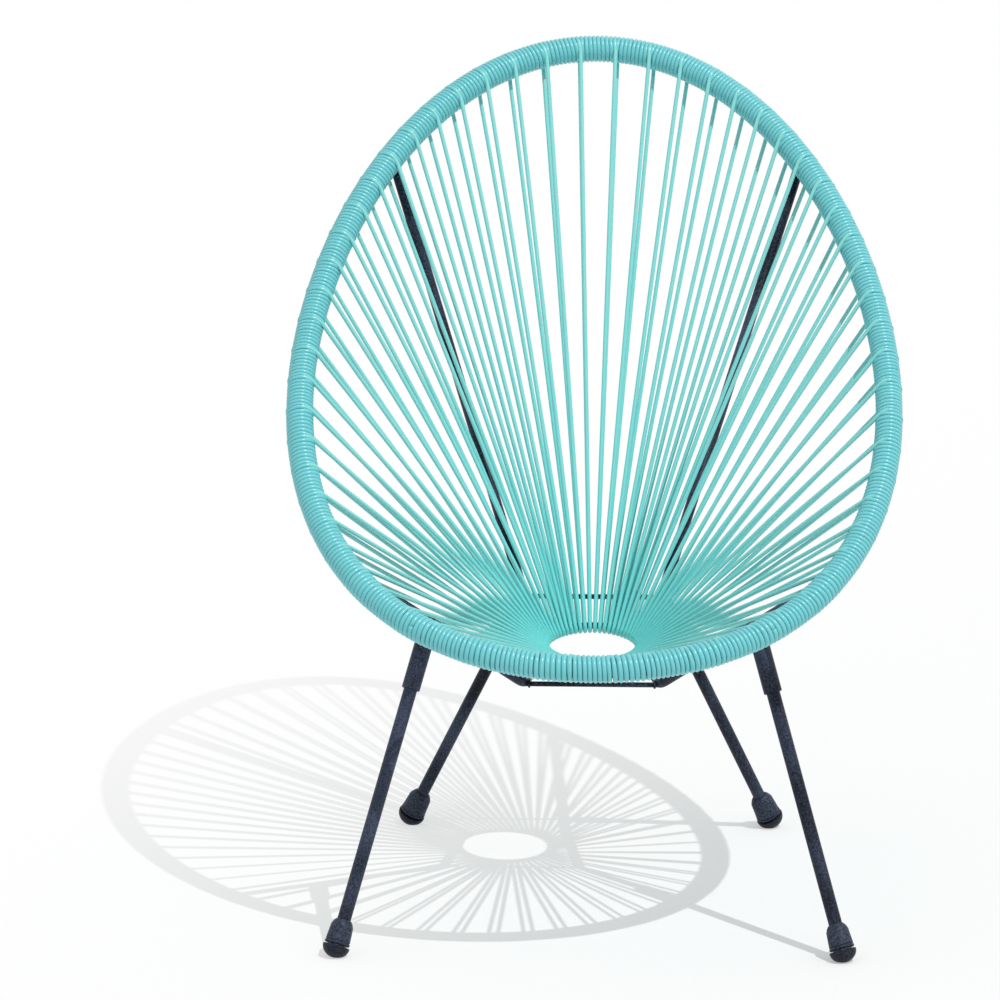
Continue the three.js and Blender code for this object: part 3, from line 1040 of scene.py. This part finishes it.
for leg in legs:
    dome = [
        [pad_radius * math.sin(a), -pad_depth * math.cos(a)]
        for a in np.linspace(0, math.pi / 2, pad_dome_points)
    ]
    mouth_angle = math.asin(pad_mouth_radius / socket_ball_radius)
    profile = [
        *dome,
        [pad_mouth_radius + pad_mouth_flare, 0],
        *arc(socket_ball_radius, mouth_angle, socket_ball_points),
    ]
    pad_piece = make_piece(
        f"{leg.name}_glide_pad",
        *turned(profile, leg, pad_sides),
        pad_plastic,
        "foot_plastic",
        f"{leg.name}_foot",
        f"{leg.name}_glide",
    )
    shape = bmesh.new()
    shape.from_mesh(pad_piece.data)
    cut = bmesh.ops.bisect_plane(
        shape,
        geom=shape.verts[:] + shape.edges[:] + shape.faces[:],
        plane_co=(0, 0, floor_slack),
        plane_no=(0, 0, -1),
        clear_outer=True,
    )
    worn_edge = [g for g in cut["geom_cut"] if isinstance(g, bmesh.types.BMEdge)]
    bmesh.ops.contextual_create(shape, geom=worn_edge)
    bmesh.ops.recalc_face_normals(shape, faces=shape.faces[:])
    shape.to_mesh(pad_piece.data)
    shape.free()
    edged(pad_piece, pad_edge)


# Floor
# A plain white studio floor that keeps the chair's pale shadow, which is deepest near the
# right front foot and fades away from it.

floor_half = 40
floor_drop = 0.0002
shadow_depth = 0.5  # of the full shadow, under the middle of the chair
shadow_to_right = 0.46  # gained per metre
shadow_to_back = 0.26  # lost per metre
least_shadow = 0.12
most_shadow = 0.66


def background_seen(flow):
    """1 on the rays by which the camera sees the background, also in gloss or through glass."""
    kinds = ("Is Camera Ray", "Is Glossy Ray", "Is Transmission Ray")
    straight, in_gloss, through_glass = (flow.node("ShaderNodeLightPath", out=kind) for kind in kinds)
    return flow.maths("MAXIMUM", flow.maths("MAXIMUM", straight, in_gloss), through_glass)


def white_paint():
    """White that glows for the eye, mixed with plain white paint that takes the shadow."""
    white, flow, place = new_material("white_floor")
    paint = flow.node("ShaderNodeBsdfDiffuse", {}, {"Color": (0.86, 0.86, 0.86, 1)})
    glow = flow.node("ShaderNodeEmission", {}, {"Color": (1, 1, 1, 1), "Strength": 1.0})
    right = flow.node("ShaderNodeSeparateXYZ", {}, {"Vector": place}, out="X")
    back = flow.node("ShaderNodeSeparateXYZ", {}, {"Vector": place}, out="Y")
    shadow = shadow_depth + right * shadow_to_right - back * shadow_to_back
    shadow = flow.maths("MINIMUM", flow.maths("MAXIMUM", shadow, least_shadow), most_shadow)
    glowing = background_seen(flow) * (1 - shadow)
    surface = flow.node("ShaderNodeMixShader", {}, {0: glowing, 1: paint, 2: glow})
    flow.node("ShaderNodeOutputMaterial", {}, {"Surface": surface})
    return white


floor_corners = [(x * floor_half, y * floor_half, 0) for x, y in ((-1, -1), (1, -1), (1, 1), (-1, 1))]
floor_mesh = bpy.data.meshes.new("floor")
floor_mesh.from_pydata(floor_corners, [], [(0, 1, 2, 3)])
floor_mesh.materials.append(white_paint())
floor = bpy.data.objects.new("floor", floor_mesh)
floor.location.z = -floor_drop
bpy.context.scene.collection.objects.link(floor)


# Light
# One small strong lamp high on the right in front, which throws the crisp shadow, and an
# even white room that fills the rest.

lamp_strength = 2.0
lamp_spread = math.radians(0.5)
lamp_way = Vector((-0.369, 0.291, -1))
room_fill = 0.56

lamp_data = bpy.data.lights.new("key", "SUN")
lamp_data.energy = lamp_strength
lamp_data.angle = lamp_spread
lamp = bpy.data.objects.new("key", lamp_data)
lamp.rotation_euler = lamp_way.to_track_quat("-Z", "Y").to_euler()
bpy.context.scene.collection.objects.link(lamp)

room = bpy.data.worlds.new("room")
room.use_nodes = True
room.node_tree.nodes.clear()
room_flow = Flow(room.node_tree)
room_strength = room_fill + background_seen(room_flow) * (1 - room_fill)
sky = room_flow.node("ShaderNodeBackground", {}, {"Color": (1, 1, 1, 1), "Strength": room_strength})
room_flow.node("ShaderNodeOutputWorld", {}, {"Surface": sky})
bpy.context.scene.world = room


# Camera
# A long lens 17 metres in front of the chair, 5.7 metres up and aimed 17 degrees down, a
# little to the left and turned a little about its own line.

lens = bpy.data.cameras.new("photo")
lens.sensor_width = 36
lens.lens = 550.08
lens.clip_end = 200
camera_place = (0, -17.2297, 5.709)
camera_lift = math.radians(72.994)  # from straight down
camera_swing = math.radians(0.367)
camera_roll = math.radians(0.42)

camera = bpy.data.objects.new("photo", lens)
camera.location = camera_place
aim = Euler((camera_lift, 0, camera_swing)).to_matrix()
camera.rotation_euler = (aim @ Matrix.Rotation(camera_roll, 3, "Z")).to_euler()
bpy.context.scene.collection.objects.link(camera)
bpy.context.scene.camera = camera
bpy.context.scene.view_settings.view_transform = "Standard"
